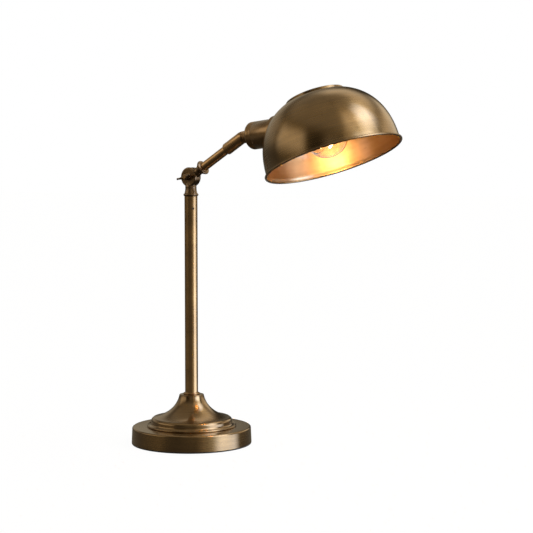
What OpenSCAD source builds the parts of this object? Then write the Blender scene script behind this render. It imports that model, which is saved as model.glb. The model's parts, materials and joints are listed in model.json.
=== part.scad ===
// Dome shade desk lamp, millimetres.
// The origin is the middle of the foot's underside and +Z is up.
// The arm swings in the plane y = 0 and reaches towards +X.

/* [Foot] */
// Radius of the foot at the bottom of its wall
foot_r = 88; // [84:1:94]
// Height of the foot's drum, felt included
foot_h = 25; // [23:0.5:28]
// Height of the flared neck's top
neck_top_z = 72; // [70:1:76]
// Thickness of the spun sheet
sheet = 1.4; // [1:0.1:1.8]
// Thickness of the felt under the foot
felt_t = 2; // [1.5:0.5:2.5]

/* [Pole] */
// Outer radius of the pole
pole_r = 9.5; // [9:0.1:10]
// Height of the pole's top end
pole_top_z = 361.8; // [300:1:420]
// Height of the knuckle's hinge above the pole's top end
hinge_rise = 28.2; // [27:0.2:30]
// Height of the set screw below the pole's top end
screw_drop = 17.6; // [12:0.2:19]

/* [Knuckle] */
// Radius of the round cheeks
cheek_r = 14; // [13.5:0.1:15]
// Thickness over both cheeks
knuckle_w = 13.4; // [12.6:0.2:15]
// Radius of the hinge bolt
bolt_r = 2.5; // [2.2:0.1:2.8]
// Turn of the wing nut, from +X towards +Z
wing_turn = 16; // [-60:1:60]

/* [Arm] */
// Tilt of the arm above the level, as it stands
arm_tilt = 30.5; // [28:0.1:60]
// Lowest tilt of the arm
arm_low = 27.3; // [20:0.1:27.5]
// Highest tilt of the arm
arm_high = 90; // [80:1:95]
// Length from the hinge to the elbow's bend
arm_len = 110.2; // [105:0.2:130]
// Outer radius of the arm's tube
arm_r = 6.5; // [6:0.1:6.8]
// Outer radius of the elbow
elbow_r = 8.6; // [8.4:0.1:9.4]
// Tilt of the cup's axis above the level, as it stands
cup_tilt = 6; // [3:0.5:8]

/* [Cup and lampholder] */
// Outer radius of the socket cup
cup_r = 19.5; // [19:0.1:20.5]
// Place of the lampholder's flange along the cup
holder_s = 46; // [44:0.5:47]
// Dip of the lampholder below the cup's axis
holder_dip = 8.2; // [6:0.1:8.4]

/* [Shade] */
// Outer radius of the shade above its rolled rim
shade_r = 93.8; // [92:0.2:97]
// Height of the shade from its rim to its crown
shade_h = 95; // [93:0.5:98]
// Roundness of the shade's outline, 2 is an ellipse and more is squarer
shade_bulge = 2.36; // [2.2:0.02:2.5]
// Thickness of the shade
shade_t = 1.2; // [1:0.1:1.5]
// Radius of the rolled rim's bead
bead_r = 1.6; // [1.4:0.1:2]
// Place of the rim's centre along the cup's axis
rim_s = 152.3; // [150:0.1:155]
// Drop of the rim's centre below the cup's axis
rim_drop = 47.8; // [46:0.2:49]
// Pitch of the rim against the cup's axis, front up
shade_pitch = 14.2; // [12:0.2:16]
// Radius of the crown cap
cap_r = 41; // [38:0.5:43]

/* [Bulb] */
// Radius of the bulb's head
bulb_r = 30.8; // [29:0.2:31]
// Length of the bulb, contact included
bulb_len = 110; // [108:1:112]

/* [Hidden] */
$fn = 96;

// Fits: a running fit turns, a seat stands still, a face gap parts two moving faces
running = 0.05;
seat = 0.02;
face_gap = 0.3;

// Foot
foot_lean = 0.9;            // how far the drum's wall leans in
foot_edge_r = 2.5;          // rounded top edge of the drum
ring_r = 64;                // low ring round the step
ring_bead = 1.5;
step_r = 59.35;             // step that carries the flare
step_z = 38.05;
step_edge_r = 2.6;
neck_r = 18;                // flared neck at its top
neck_edge_r = 1.2;
flare_r1 = 38;              // steep upper part of the flare
flare_r2 = 50;              // shallow lower part of the flare
flare_steep = 78;
flare_knee = 42;
flare_shallow = 8;
nipple_r = 5;               // threaded tube through the foot, and the one in the cup
nipple_bore = 3.3;
nipple_len = 90;
weight_r = 84.3;
weight_z = 9;
pocket_ring_r = 52;         // casting pockets under the weight
weight_pocket_r = 9;
weight_pocket_h = 6;
base_washer_r = 13;
base_washer_t = 1.2;
base_nut_flats = 16;
base_nut_h = 4.8;
grommet_z = 8;
grommet_r = 4;
grommet_lip = 1.2;
grommet_gap = 3.4;          // from the grommet's outer lip to its inner one

// Pole
collar_r = 12.2;
collar_h = 3.2;
pole_wall = 1.35;
pole_z = neck_top_z + collar_h;
screw_z = pole_top_z - screw_drop;
screw_turn = -30;
set_screw_r = 1.5;
set_screw_start = 5.2;
bush_h = 16;
spigot_len = 26;
spigot_r = pole_r - pole_wall - 2 * seat;

// Knuckle
hinge_z = pole_top_z + hinge_rise;
cheek_edge = 1.6;
slot_w = 6.2;
tongue_w = 4.4;
tongue_r = 10.5;
pocket_r = 11;
blade_h = 6;                // half the height of the tongue's blade
blade_room = 0.5;
bolt_out = 8.6;             // how far the bolt stands out for the nut
bolt_head_h = 2.4;
nut_hub_h = 7;
wing_t = 2.4;
washer_t = 0.6;
flat_washer_t = 0.8;
way_r = 3;                  // way for the wire

// Arm and swivel
arm_wall = 1.2;
sleeve_start = 77.6;
sleeve_depth = 20;
stem_end = 29;
stem_plug = 12;             // how far the stem reaches into the arm
bend = arm_tilt - cup_tilt;
elbow_bend_r = elbow_r + 1; // tight bend that looks like a mitre
ring_s = elbow_bend_r * tan(bend / 2);  // swivel ring, along the cup's axis from the bend
ring_w = 2;
neck_s = ring_s + ring_w + face_gap;
back_s = 13.9;              // outside of the cup's back
cup_wall = 1.2;
cup_back_r = 8;
cup_shoulder = 7.1;
cup_reach = rim_s - 70;     // far enough to meet the shade
saddle_out = 5;             // collar between the cup and the shade, outside the cup
saddle_t = 2.3;
swivel_nipple_len = 28;
nut_w = 5;

// Lampholder, along its own axis from the flange's back
sleeve_r = 15.2;
sleeve_wall = 0.9;
holder_low = 0.5;           // drop of the lampholder in the cup
flange_r = 16.8;
holder_screw_r = 1.2;
screw_y = 4.5;
wire_way_x = 9;
sleeve_len = 43.3;
floor_h = 13.1;
bulb_h = 18.4;              // the bulb's contact
hole_r = sleeve_r + 0.4;
wedge_face = 33;
nut_ring_w = 5;

// Bulb, along its axis from the contact
cap_h = 26;
cap_thread_r = 13.2;
head_h = bulb_len - bulb_r;
blend = 35;                 // where the head's arc meets the neck's arc
glass_t = 0.9;
glass_neck_r = 13;
cap_end_h = 4.5;            // the cap's closed end
thread_pitch = 3.6;
thread_turns = 5;
thread_depth = 1.1;
neck_arc_r = (bulb_r * cos(blend) - glass_neck_r) / (1 - cos(blend));
filament_r = 15;
wire_r = 0.3;
filament_wire_r = 0.5;

// Crown cap, with its edge on the shade and its middle on the washer
cap_edge_z = 91.7;
cap_top_z = 96.8;
cap_t = 1;
crown_screw_r = 2;
crown_hole_r = 2.1;

// ---------- outlines ----------

// Points of an arc about (cx, cy) from angle a to angle b
function arc(cx, cy, r, a, b, n) =
    [for (i = [0:n]) let (t = a + (b - a) * i / n) [cx + r * cos(t), cy + r * sin(t)]];

function reversed(list) = [for (i = [len(list) - 1:-1:0]) list[i]];

// The foot's outline from the bottom of its wall to its neck, d inside its outer face
function foot_outline(d) =
    let (top_c = [neck_r + flare_r1 * sin(flare_steep),
                  neck_top_z - neck_edge_r + flare_r1 * cos(flare_steep)],
         knee = top_c - flare_r1 * [sin(flare_knee), cos(flare_knee)],
         low_c = knee + flare_r2 * [sin(flare_knee), cos(flare_knee)])
    concat(
        [[foot_r - d, felt_t]],
        arc(foot_r - foot_lean - foot_edge_r, foot_h - foot_edge_r, foot_edge_r - d, 0, 86, 6),
        d > 0 ? [] : arc(ring_r, foot_h + 1.6, ring_bead, -20, 130, 8),
        d > 0 ? [] : [[ring_r - 3.4, foot_h + 1.7]],
        [[step_r - d, foot_h + (d > 0 ? -d : 2.2)]],
        arc(step_r - step_edge_r, step_z - step_edge_r, step_edge_r - d, 0, 80, 6),
        arc(low_c[0], low_c[1], flare_r2 + d, 270 - flare_shallow, 270 - flare_knee, 10),
        arc(top_c[0], top_c[1], flare_r1 + d, 270 - flare_knee - 3, 270 - flare_steep, 10),
        arc(neck_r - neck_edge_r, neck_top_z - neck_edge_r, max(neck_edge_r - d, 0.1), 0, 90, 4),
        [[nipple_r + 0.3, neck_top_z - d]]);

// The shade's outline from its rim to its crown, d inside its outer face
function shade_outline(d, n = 28) =
    [for (i = [0:n]) let (t = 90 * i / n)
        [(shade_r - d) * pow(cos(t), 2 / shade_bulge),
         (shade_h - d) * pow(sin(t), 2 / shade_bulge)]];

// The bulb's outline from its cap to its tip, d inside its outer face
function bulb_outline(d) =
    concat(
        arc(glass_neck_r + neck_arc_r, cap_h, neck_arc_r + d, 180, 180 - blend, 10),
        arc(0, head_h, bulb_r - d, -blend + 5, 90, 20));

// ---------- places ----------

// Hinge, with +X along the arm
module at_hinge() translate([0, 0, hinge_z]) rotate([0, -arm_tilt, 0]) children();

// Elbow's bend, with +X along the cup's axis
module at_bend() at_hinge() translate([arm_len, 0, 0]) rotate([0, bend, 0]) children();

// Back of the lampholder's flange, with +Z along the bulb's axis
module at_holder()
    at_bend() translate([holder_s, 0, -holder_low]) rotate([0, 90 + holder_dip, 0]) children();

// Bulb's contact, with +Z along the bulb's axis
module at_bulb() at_holder() translate([0, 0, bulb_h]) children();

// Centre of the shade's rim, with +Z along the shade's axis
module at_shade()
    at_bend() translate([rim_s, 0, -rim_drop]) rotate([0, -shade_pitch, 0]) children();

// Turns +Z to +X, for a turned piece that lies along its axis
module along() rotate([0, 90, 0]) children();

// A tube along +Z
module tube(r_out, r_in, h) {
    difference() {
        cylinder(r = r_out, h = h);
        translate([0, 0, -1]) cylinder(r = r_in, h = h + 2);
    }
}

// A hexagon nut along +Z
module hex_nut(flats, bore, h) {
    difference() {
        cylinder(r = flats / 2 / cos(30), h = h, $fn = 6);
        translate([0, 0, -1]) cylinder(r = bore, h = h + 2);
    }
}

// The shade's filled form, d inside its outer face
module shade_solid(d) rotate_extrude() polygon(concat([[0, 0]], shade_outline(d)));

// ---------- foot ----------

module felt_pad() color("black") cylinder(r = foot_r - 0.7, h = felt_t);

module base_shell() color("darkgoldenrod") {
    difference() {
        rotate_extrude() polygon(concat(foot_outline(0), reversed(foot_outline(sheet))));
        translate([-foot_r - 5, 0, grommet_z]) along() cylinder(r = grommet_r + seat, h = 12);
    }
}

module base_weight() color("dimgray") {
    top = foot_h - sheet - seat;
    difference() {
        rotate_extrude() polygon([
            [nipple_r + 0.4, weight_z], [weight_r - 2, weight_z], [weight_r, weight_z + 2],
            [weight_r, top - 3], [weight_r - 3, top], [nipple_r + 0.4, top]]);
        for (a = [0:60:300]) rotate([0, 0, a + 30])
            translate([pocket_ring_r, 0, weight_z - 1])
                cylinder(r = weight_pocket_r, h = weight_pocket_h + 1);
    }
}

module base_nipple() color("goldenrod")
    translate([0, 0, felt_t + 1]) tube(nipple_r, nipple_bore, nipple_len);

module base_washer() color("silver")
    translate([0, 0, weight_z - base_washer_t])
        tube(base_washer_r, nipple_r + seat, base_washer_t);

module base_nut() color("silver")
    translate([0, 0, weight_z - base_washer_t - base_nut_h])
        hex_nut(base_nut_flats, nipple_r + seat, base_nut_h);

module cord_grommet() color("saddlebrown") {
    translate([-foot_r - grommet_lip - seat, 0, grommet_z]) along() difference() {
        union() {
            cylinder(r = grommet_r + grommet_lip, h = grommet_lip);
            cylinder(r = grommet_r, h = grommet_gap + 0.5);
            translate([0, 0, grommet_gap]) cylinder(r = grommet_r + grommet_lip, h = 1);
        }
        translate([0, 0, -1]) cylinder(r = grommet_r - grommet_lip, h = grommet_gap + 4);
    }
}

// ---------- pole ----------

module pole_collar() color("goldenrod") {
    rotate_extrude() polygon(concat(
        [[nipple_r + 0.3, neck_top_z], [collar_r - 0.6, neck_top_z]],
        arc(collar_r - 1.2, neck_top_z + 1.2, 1.2, -40, 80, 6),
        [[collar_r - 2.2, pole_z], [nipple_r + 0.3, pole_z]]));
}

module pole_bush() color("goldenrod")
    translate([0, 0, pole_z]) tube(pole_r - pole_wall - seat, nipple_r + seat, bush_h);

module pole() color("darkgoldenrod") {
    difference() {
        translate([0, 0, pole_z]) tube(pole_r, pole_r - pole_wall, pole_top_z - pole_z);
        rotate([0, 0, screw_turn]) translate([0, 0, screw_z])
            along() cylinder(r = set_screw_r + seat, h = pole_r + 2);
    }
}

module pole_set_screw() color("dimgray") {
    rotate([0, 0, screw_turn]) translate([set_screw_start, 0, screw_z]) along() difference() {
        cylinder(r = set_screw_r, h = pole_r - set_screw_start - 0.3);
        translate([0, 0, pole_r - set_screw_start - 1.5]) cylinder(r = set_screw_r / 2, h = 2, $fn = 6);
    }
}

// ---------- knuckle ----------

// The room that the tongue's blade sweeps, as an outline in the arm's plane
module blade_sweep() {
    reach = cheek_r + 4;
    for (a = [arm_low, arm_high]) rotate(a)
        translate([0, -blade_h - blade_room]) square([reach, 2 * (blade_h + blade_room)]);
    polygon(concat([[0, 0]], arc(0, 0, reach, arm_low, arm_high, 6)));
}

// Neck, bead and spigot of the lower knuckle, turned about the pole's axis
module lower_stem() rotate_extrude() polygon(concat(
    [[0, -hinge_rise - spigot_len], [spigot_r - 0.8, -hinge_rise - spigot_len],
     [spigot_r, -hinge_rise - spigot_len + 1],
     [spigot_r, -hinge_rise], [pole_r - 0.2, -hinge_rise]],
    arc(pole_r - 0.4, -hinge_rise + 2.3, 1.9, -70, 70, 10),
    [[pole_r - 0.3, -hinge_rise + 4.6], [pole_r - 0.6, -hinge_rise + 6.4],
     [pole_r - 1.05, -hinge_rise + 9], [pole_r - 1.1, -hinge_rise + 12.4],
     [pole_r - 1.5, -hinge_rise + 14.6], [knuckle_w / 2 - 0.4, -hinge_rise + 17.4],
     [0, -hinge_rise + 17.4]]));

// A round cheek block with rounded edges, its axis along Y
module cheek_block() rotate([90, 0, 0]) rotate_extrude() polygon(concat(
    [[0, -knuckle_w / 2]],
    arc(cheek_r - cheek_edge, -knuckle_w / 2 + cheek_edge, cheek_edge, -90, 0, 5),
    arc(cheek_r - cheek_edge, knuckle_w / 2 - cheek_edge, cheek_edge, 0, 90, 5),
    [[0, knuckle_w / 2]]));

module lower_knuckle() color("peru") {
    translate([0, 0, hinge_z]) difference() {
        union() {
            cheek_block();
            lower_stem();
        }
        rotate([90, 0, 0]) cylinder(r = pocket_r, h = slot_w, center = true);
        rotate([90, 0, 0]) translate([0, 0, -slot_w / 2]) linear_extrude(slot_w) blade_sweep();
        rotate([90, 0, 0]) cylinder(r = bolt_r + seat, h = knuckle_w + 2, center = true);
        translate([0, 0, -hinge_rise - spigot_len - 1])
            cylinder(r = way_r, h = hinge_rise + spigot_len - 6);
        rotate([0, 0, screw_turn]) translate([0, 0, screw_z - hinge_z])
            along() cylinder(r = set_screw_r + seat, h = pole_r + 2);
    }
}

module friction_washers() color("saddlebrown") {
    for (side = [-1, 1])
        translate([0, side * (slot_w - washer_t) / 2, hinge_z]) rotate([90, 0, 0])
            translate([0, 0, -washer_t / 2]) tube(tongue_r - 1, bolt_r + seat, washer_t);
}

module hinge_bolt() color("peru") {
    translate([0, 0, hinge_z]) rotate([90, 0, 0]) difference() {
        union() {
            translate([0, 0, -knuckle_w / 2]) cylinder(r = bolt_r, h = knuckle_w + bolt_out);
            translate([0, 0, -knuckle_w / 2 - bolt_head_h])
                cylinder(r1 = 4, r2 = 5.2, h = bolt_head_h);
        }
        translate([-6, -0.6, -knuckle_w / 2 - bolt_head_h - 1]) cube([12, 1.2, 2]);
    }
}

module hinge_washer() color("peru")
    translate([0, -knuckle_w / 2, hinge_z]) rotate([90, 0, 0])
        tube(6, bolt_r + seat, flat_washer_t);

// One wing, its outline in the plane through the bolt's axis
module wing() linear_extrude(wing_t, center = true) {
    polygon([[2.4, 0.8], [6.6, 2.8], [10.4, 6.6], [12.3, 8.2], [10.4, 10.6], [7.6, 9.4],
             [4.6, 7.6], [2.4, 6.6]]);
    translate([11.2, 9.3]) circle(r = 1.6);
}

module wing_nut() color("peru") {
    start = knuckle_w / 2 + flat_washer_t + face_gap;
    translate([0, -start, hinge_z]) difference() {
        union() {
            rotate([90, 0, 0]) cylinder(r1 = 4.6, r2 = 3.8, h = nut_hub_h);
            for (half = [0, 180]) rotate([0, -wing_turn + half, 0]) rotate([180, 0, 0]) wing();
        }
        rotate([90, 0, 0]) translate([0, 0, -1])
            cylinder(r = bolt_r + running, h = nut_hub_h + 3);
    }
}

// Stem, bead and spigot of the upper knuckle, turned about the arm's axis
module upper_stem() along() rotate_extrude() polygon(concat(
    [[0, 12], [7.2, 12], [6.9, 15], [6.4, 17.6], [6.6, 20], [7.8, 22], [8.6, 22.9], [8.2, 23.8]],
    arc(9.2, 26.6, 1.7, -80, 80, 10),
    [[arm_r + 1.2, stem_end], [arm_r - arm_wall - seat, stem_end],
     [arm_r - arm_wall - seat, stem_end + stem_plug], [0, stem_end + stem_plug]]));

module upper_knuckle() color("peru") {
    at_hinge() difference() {
        union() {
            rotate([90, 0, 0]) cylinder(r = tongue_r, h = tongue_w, center = true);
            translate([0, -tongue_w / 2, -blade_h]) cube([18, tongue_w, 2 * blade_h]);
            difference() {
                upper_stem();
                rotate([90, 0, 0]) cylinder(r = cheek_r + 0.7, h = 30, center = true);
            }
        }
        rotate([90, 0, 0]) cylinder(r = bolt_r + running, h = 10, center = true);
        translate([13, 0, 0]) along() cylinder(r = way_r - 0.5, h = 40);
    }
}

// ---------- arm ----------

module arm_tube() color("peru")
    at_hinge() translate([stem_end, 0, 0]) along()
        tube(arm_r, arm_r - arm_wall, sleeve_start + sleeve_depth - stem_end - 1);

module elbow() color("peru") {
    straight_end = arm_len - ring_s;
    difference() {
        union() {
            at_hinge() translate([sleeve_start, 0, 0]) along() {
                cylinder(r1 = elbow_r - 0.5, r2 = elbow_r, h = 0.6);
                translate([0, 0, 0.6]) cylinder(r = elbow_r, h = straight_end - sleeve_start - 0.6);
            }
            at_hinge() translate([straight_end, 0, -elbow_bend_r])
                rotate([90, 0, 0]) rotate([0, 0, 90 - bend]) rotate_extrude(angle = bend)
                    translate([elbow_bend_r, 0]) circle(r = elbow_r);
        }
        at_hinge() translate([sleeve_start - 1, 0, 0]) along()
            cylinder(r = arm_r + seat, h = sleeve_depth + 1);
        at_hinge() translate([sleeve_start, 0, 0]) along()
            cylinder(r = nipple_bore, h = arm_len - sleeve_start);
        at_bend() translate([-5, 0, 0]) along() cylinder(r = nipple_r + seat, h = 20);
    }
}

// ---------- swivel ----------

module neck_nipple() color("goldenrod")
    at_bend() translate([-4.6, 0, 0]) along() tube(nipple_r, nipple_bore, swivel_nipple_len);

module swivel_ring() color("peru") {
    at_bend() translate([ring_s, 0, 0]) along() rotate_extrude() polygon(concat(
        [[nipple_r + seat, 0], [elbow_r - 1.4, 0], [elbow_r - 1.4, 0.5]],
        arc(elbow_r - 0.6, 1.3, 0.8, -80, 80, 6),
        [[elbow_r - 1.2, ring_w], [nipple_r + seat, ring_w]]));
}

module cup_neck() color("peru") {
    at_bend() translate([neck_s, 0, 0]) along() rotate_extrude() polygon(concat(
        [[nipple_r + running, 0], [elbow_r - 1.4, 0]],
        arc(elbow_r - 1.2, 1.9, 1.5, -80, 80, 8),
        [[7.6, 3.8], [7.6, back_s - neck_s], [6.2, back_s - neck_s],
         [6.2, back_s + cup_wall - neck_s], [nipple_r + running, back_s + cup_wall - neck_s]]));
}

module swivel_washer() color("silver")
    at_bend() translate([back_s + cup_wall + face_gap, 0, 0]) along()
        tube(8.5, nipple_r + seat, 1);

module lock_nut() color("silver")
    at_bend() translate([back_s + cup_wall + face_gap + 1, 0, 0]) along()
        hex_nut(14, nipple_r + seat, nut_w);

// ---------- cup and lampholder ----------

// The cup's outline from its back to its mouth, d inside its outer face
function cup_outline(d) = concat(
    [[6.2 + seat, back_s + d]],
    [for (i = [0:8]) let (t = 90 * i / 8)
        [cup_back_r + (cup_r - cup_back_r - d) * sin(t),
         back_s + cup_shoulder - (cup_shoulder - d) * cos(t)]],
    [[cup_r - d, cup_reach]]);

module socket_cup() color("peru") {
    difference() {
        at_bend() along() rotate_extrude()
            polygon(concat(cup_outline(0), reversed(cup_outline(cup_wall))));
        at_shade() shade_solid(-seat);
    }
}

module saddle_collar() color("saddlebrown") {
    intersection() {
        at_bend() along() tube(cup_r + saddle_out, cup_r + seat, cup_reach + 10);
        at_shade() difference() {
            shade_solid(-saddle_t);
            shade_solid(-seat);
        }
    }
}

// Ways through the seat and the lampholder for the two wires
module wire_ways() for (side = [-1, 1])
    translate([side * wire_way_x, 0, -20]) cylinder(r = 1.6, h = 50);

module holder_seat() color("silver") {
    difference() {
        at_bend() translate([holder_s - 8, 0, 0]) along()
            cylinder(r = cup_r - cup_wall - seat, h = 12);
        at_holder() {
            translate([0, 0, 15]) cube([60, 60, 30], center = true);
            wire_ways();
            for (side = [-1, 1]) translate([0, side * screw_y, -4])
                cylinder(r = holder_screw_r + seat, h = 5);
        }
    }
}

module holder_screws() color("silver") {
    at_holder() for (side = [-1, 1]) translate([0, side * screw_y, 0]) difference() {
        union() {
            translate([0, 0, -3.8]) cylinder(r = holder_screw_r, h = floor_h + 3.8);
            translate([0, 0, floor_h]) cylinder(r1 = 1.9, r2 = 1.5, h = 1.2);
        }
        translate([-2, -0.25, floor_h + 0.7]) cube([4, 0.5, 1]);
    }
}

module lampholder() color("dimgray") {
    at_holder() difference() {
        union() {
            cylinder(r = flange_r, h = 3);
            cylinder(r = sleeve_r - sleeve_wall - seat, h = floor_h);
        }
        wire_ways();
        for (side = [-1, 1]) translate([0, side * screw_y, -1])
            cylinder(r = holder_screw_r + seat, h = floor_h + 2);
    }
}

module holder_sleeve() color("darkgoldenrod")
    at_holder() translate([0, 0, 3]) tube(sleeve_r, sleeve_r - sleeve_wall, sleeve_len - 3);

module screw_shell() color("gold") {
    at_holder() translate([0, 0, floor_h]) difference() {
        cylinder(r = sleeve_r - sleeve_wall - seat, h = sleeve_len - floor_h - 3);
        translate([0, 0, 0.8]) cylinder(r = 13.5, h = sleeve_len);
        translate([0, 0, -1]) cylinder(r = 6.6, h = 3);
    }
}

module centre_contact() color("gold") {
    at_holder() translate([0, 0, floor_h]) {
        cylinder(r = 2, h = 3);
        translate([0, 0, 3]) cylinder(r1 = 4, r2 = 2.6, h = bulb_h - floor_h - 3);
    }
}

module wedge_ring() color("darkgoldenrod") {
    intersection() {
        at_holder() translate([0, 0, 5]) tube(sleeve_r + 4.8, hole_r, wedge_face - 5);
        at_shade() shade_solid(shade_t + seat);
    }
}

module shade_ring() color("goldenrod") {
    at_holder() translate([0, 0, wedge_face]) difference() {
        tube(sleeve_r + 6.4, sleeve_r + seat, nut_ring_w);
        for (a = [0:30:330]) rotate([0, 0, a])
            translate([sleeve_r + 7, 0, -1]) cylinder(r = 1.5, h = nut_ring_w + 2);
    }
}

// ---------- shade ----------

module shade() color("darkgoldenrod") {
    difference() {
        at_shade() {
            rotate_extrude() polygon(concat(shade_outline(0), reversed(shade_outline(shade_t))));
            rotate_extrude() translate([shade_r + bead_r - 0.3, 0.6]) circle(r = bead_r);
        }
        at_holder() cylinder(r = hole_r, h = 60);
        at_shade() cylinder(r = crown_hole_r, h = shade_h + 5);
    }
}

// Height of the shade's outer face at radius r
function shade_height(r) = shade_h * pow(1 - pow(r / shade_r, shade_bulge), 1 / shade_bulge);

// Height of the cap's shallow top at radius r
function cap_height(r) = cap_edge_z + (cap_top_z - cap_edge_z) * (1 - pow(r / cap_r, 2));

module crown_cap() color("darkgoldenrod") {
    at_shade() rotate_extrude() polygon(concat(
        [[cap_r - cap_t, shade_height(cap_r - cap_t) + seat],
         [cap_r, shade_height(cap_r) + seat]],
        arc(cap_r - 0.8, cap_edge_z - 0.8, 0.8, 0, 80, 4),
        [for (k = [0.94, 0.8, 0.6, 0.4, 0.2]) [cap_r * k, cap_height(cap_r * k)]],
        [[crown_hole_r, cap_height(crown_hole_r)], [crown_hole_r, cap_height(crown_hole_r) - cap_t]],
        [for (k = [0.2, 0.4, 0.6, 0.8, 0.94]) [cap_r * k, cap_height(cap_r * k) - cap_t]],
        [[cap_r - cap_t, cap_edge_z - 1.4]]));
}

module crown_washer() color("silver")
    at_shade() translate([0, 0, shade_h]) tube(6, crown_hole_r, cap_height(6) - cap_t - shade_h - seat);

module crown_screw() color("darkgoldenrod") {
    at_shade() difference() {
        union() {
            translate([0, 0, shade_h - 9]) cylinder(r = crown_screw_r, h = cap_top_z - shade_h + 9);
            translate([0, 0, cap_top_z]) cylinder(r1 = 4.6, r2 = 3, h = 1.8);
        }
        translate([-5, -0.5, cap_top_z + 0.8]) cube([10, 1, 2]);
    }
}

module crown_nut() color("silver")
    at_shade() translate([0, 0, shade_h - shade_t - 4.2]) hex_nut(7, crown_screw_r + seat, 3.8);

// ---------- bulb ----------

module bulb_contact() color("silver") at_bulb() cylinder(r1 = 3.4, r2 = 4.6, h = 1.5);

module bulb_insulator() color("black")
    at_bulb() translate([0, 0, 1.5]) cylinder(r1 = 6, r2 = 11, h = cap_end_h - 1.5);

// The cap is closed below, and its thread is a row of rounded ribs
module bulb_cap() color("silver") {
    inner_r = glass_neck_r - glass_t - 0.6;
    at_bulb() rotate_extrude() polygon(concat(
        [[0, cap_end_h], [11, cap_end_h]],
        [for (i = [0:thread_turns - 1], w = [[0.15, -thread_depth], [0.5, 0], [0.85, -thread_depth]])
            [cap_thread_r + w[1], cap_end_h + 0.5 + (i + w[0]) * thread_pitch]],
        [[glass_neck_r + 0.1, cap_h - 2], [glass_neck_r + 0.1, cap_h - seat],
         [inner_r, cap_h - seat], [inner_r, cap_end_h + 1.5], [0, cap_end_h + 1.5]]));
}

module bulb_glass() color("lightcyan", 0.4) {
    at_bulb() rotate_extrude()
        polygon(concat(bulb_outline(0), reversed(bulb_outline(glass_t))));
}

module bulb_stem() color("lightcyan", 0.6) {
    at_bulb() translate([0, 0, cap_h + 1]) {
        cylinder(r1 = 9, r2 = 3.4, h = 9);
        translate([0, 0, 9]) cylinder(r1 = 3.4, r2 = 1.8, h = 16);
        translate([0, 0, 26]) sphere(r = 2.6);
    }
}

// A straight round wire from a to b
module wire(a, b, r) {
    v = b - a;
    translate(a) rotate([0, acos(v[2] / norm(v)), atan2(v[1], v[0])])
        cylinder(r = r, h = norm(v), $fn = 16);
}

module bulb_wires() color("silver") {
    root_h = cap_h + 18;
    at_bulb() for (a = [30, 150, 270, 330])
        wire([3 * cos(a), 3 * sin(a), root_h],
             [filament_r * cos(a), filament_r * sin(a), head_h - 0.8], wire_r);
}

module filament() color("orange")
    at_bulb() translate([0, 0, head_h]) rotate([0, 0, 30])
        rotate_extrude(angle = 300) translate([filament_r, 0]) circle(r = filament_wire_r, $fn = 24);

felt_pad();
base_shell();
base_weight();
base_nipple();
base_washer();
base_nut();
cord_grommet();
pole_collar();
pole_bush();
pole();
pole_set_screw();
lower_knuckle();
friction_washers();
hinge_bolt();
hinge_washer();
wing_nut();
upper_knuckle();
arm_tube();
elbow();
neck_nipple();
swivel_ring();
swivel_washer();
lock_nut();
cup_neck();
socket_cup();
holder_seat();
holder_screws();
lampholder();
holder_sleeve();
screw_shell();
centre_contact();
wedge_ring();
shade_ring();
saddle_collar();
shade();
crown_cap();
crown_washer();
crown_screw();
crown_nut();
bulb_contact();
bulb_insulator();
bulb_cap();
bulb_glass();
bulb_stem();
bulb_wires();
filament();
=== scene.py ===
"""Looks of the dome shade desk lamp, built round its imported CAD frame. Lengths are in metres."""

import json
import math

import bmesh
import bpy
from mathutils import Matrix, Vector

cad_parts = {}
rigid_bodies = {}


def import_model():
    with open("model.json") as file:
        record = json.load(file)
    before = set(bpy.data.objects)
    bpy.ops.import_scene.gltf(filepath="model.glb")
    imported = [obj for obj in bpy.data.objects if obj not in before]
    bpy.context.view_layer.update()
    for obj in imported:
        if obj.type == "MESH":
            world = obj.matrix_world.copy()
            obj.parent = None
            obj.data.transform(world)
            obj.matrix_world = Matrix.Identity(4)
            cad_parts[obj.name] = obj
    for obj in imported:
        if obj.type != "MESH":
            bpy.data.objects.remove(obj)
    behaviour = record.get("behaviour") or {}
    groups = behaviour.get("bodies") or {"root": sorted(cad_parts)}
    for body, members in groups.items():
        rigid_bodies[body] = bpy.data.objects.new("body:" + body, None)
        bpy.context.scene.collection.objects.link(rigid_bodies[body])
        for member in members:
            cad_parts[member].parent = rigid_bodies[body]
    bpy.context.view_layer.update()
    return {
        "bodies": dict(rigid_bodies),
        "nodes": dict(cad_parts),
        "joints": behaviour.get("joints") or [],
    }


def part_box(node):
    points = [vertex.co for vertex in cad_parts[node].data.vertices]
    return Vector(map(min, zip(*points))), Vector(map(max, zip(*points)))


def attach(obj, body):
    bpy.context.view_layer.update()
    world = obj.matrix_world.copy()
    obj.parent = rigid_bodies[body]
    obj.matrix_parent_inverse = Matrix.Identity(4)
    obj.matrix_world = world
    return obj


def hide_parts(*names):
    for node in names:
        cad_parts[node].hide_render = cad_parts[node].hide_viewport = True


MM = 0.001

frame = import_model()
nodes = frame["nodes"]
joints = {joint["name"]: joint for joint in frame["joints"]}

# ---------------------------------------------------------------- driving dimensions

# Foot
FOOT_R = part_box("base_shell")[1].x
FELT_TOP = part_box("felt_pad")[1].z
NECK_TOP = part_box("base_shell")[1].z
DRUM_TOP = 25 * MM
SHEET = 1.4 * MM

# Joints
HINGE = Vector(joints["arm_tilt"]["pos_m"])
BEND = Vector(joints["shade_swivel"]["pos_m"])
CUP_AXIS = Vector(joints["shade_swivel"]["axis"]).normalized()
ARM_AXIS = (BEND - HINGE).normalized()
CUP_TILT = math.atan2(CUP_AXIS.z, CUP_AXIS.x)
ARM_TILT = math.atan2(ARM_AXIS.z, ARM_AXIS.x)

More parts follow.
